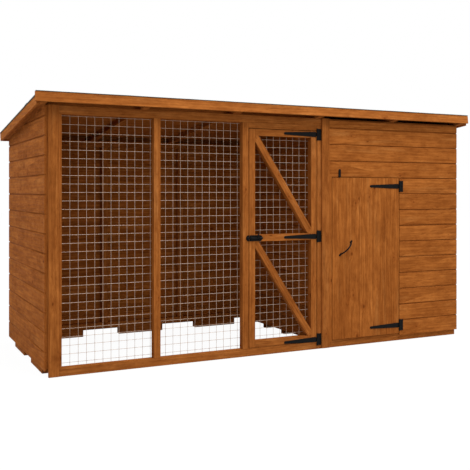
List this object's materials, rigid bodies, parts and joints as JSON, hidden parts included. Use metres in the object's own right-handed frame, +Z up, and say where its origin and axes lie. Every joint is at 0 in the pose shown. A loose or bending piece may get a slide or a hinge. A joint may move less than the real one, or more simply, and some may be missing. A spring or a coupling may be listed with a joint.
{
  "type": "animal house with run",
  "caption": "Timber kennel with an attached wire run under one sloping felt roof, with a braced mesh door, a boarded door, strap hinges and a sliding bolt.",
  "frame": {"origin": "middle of the whole outline, on the ground", "axes": "+X along the front from the run to the kennel, +Y from the front to the back, +Z up"},
  "size_m": [3.2, 1.2728, 1.6419],
  "materials": {
    "dipped_board": "dip-treated shiplap, satin brown stain",
    "dipped_frame": "sawn and planed framing, dip-treated",
    "fascia_board": "planed fascia board, dip-treated",
    "door_board": "planed vertical boards, dip-treated",
    "sawn_bearer": "rough sawn, pressure treated",
    "welded_mesh": "galvanised welded wire",
    "black_iron": "black epoxy coat, satin",
    "zinc_pin": "zinc plated",
    "roof_felt": "mineral-faced bitumen felt"
  },
  "bodies": {
    "house": {"run_front_sill": "dipped_frame", "front_top_rail": "dipped_frame", "run_corner_post": "dipped_frame", "run_mullion": "dipped_frame", "run_latch_post": "dipped_frame", "run_hinge_post": "dipped_frame", "run_door_head": "dipped_frame", "run_mesh": "welded_mesh", "left_wall_studs": "dipped_frame", "left_wall_rails": "dipped_frame", "left_wall_feet": "sawn_bearer", "left_wall_boards": "dipped_board", "right_wall_studs": "dipped_frame", "right_wall_rails": "dipped_frame", "right_wall_boards": "dipped_board", "run_back_studs": "dipped_frame", "run_back_rails": "dipped_frame", "run_back_feet": "sawn_bearer", "run_back_boards": "dipped_board", "kennel_back_studs": "dipped_frame", "kennel_back_rails": "dipped_frame", "kennel_back_boards": "dipped_board", "partition_studs": "dipped_frame", "partition_rails": "dipped_frame", "partition_boards": "dipped_board", "kennel_front_rails": "dipped_frame", "kennel_front_studs": "dipped_frame", "kennel_front_boards": "dipped_board", "kennel_jamb_strip": "door_board", "corner_cover_strip": "fascia_board", "joint_cover_strip": "fascia_board", "floor_bearers": "sawn_bearer", "kennel_floor_boards": "dipped_board", "roof_rafters": "dipped_frame", "roof_boards": "dipped_board", "roof_felt": "roof_felt", "front_fascia": "fascia_board", "rear_fascia": "fascia_board", "left_bargeboard": "fascia_board", "right_bargeboard": "fascia_board", "run_hinge_plates": "black_iron", "run_hinge_pins": "zinc_pin", "kennel_hinge_plates": "black_iron", "kennel_hinge_pins": "zinc_pin", "bolt_keeper": "black_iron", "turn_button_screw": "zinc_pin"},
    "run_door": {"run_door_latch_stile": "dipped_frame", "run_door_hinge_stile": "dipped_frame", "run_door_rails": "dipped_frame", "run_door_braces": "dipped_frame", "run_door_mesh": "welded_mesh", "run_hinge_straps": "black_iron", "bolt_plate": "black_iron"},
    "pad_bolt": {"bolt_rod": "zinc_pin"},
    "kennel_door": {"kennel_door_boards": "door_board", "kennel_door_ledges": "dipped_frame", "kennel_hinge_straps": "black_iron", "pull_handle": "black_iron"},
    "turn_button": {"turn_button": "black_iron"}
  },
  "joints": [
    {"name": "run_door_hinge", "type": "hinge", "parent": "house", "child": "run_door", "pos_m": [0.306, -0.57512, 0], "axis": [0, 0, 1], "range_deg": [0, 110]},
    {"name": "pad_bolt_slide", "type": "slide", "parent": "run_door", "child": "pad_bolt", "axis": [-1, 0, 0], "range_m": [0, 0.02]},
    {"name": "kennel_door_hinge", "type": "hinge", "parent": "house", "child": "kennel_door", "pos_m": [0.9965, -0.58712, 0], "axis": [0, 0, 1], "range_deg": [0, 110]},
    {"name": "turn_button_pivot", "type": "hinge", "parent": "house", "child": "turn_button", "pos_m": [0.4815, -0.58412, 1.18], "axis": [0, 1, 0], "range_deg": [0, 180]}
  ]
}
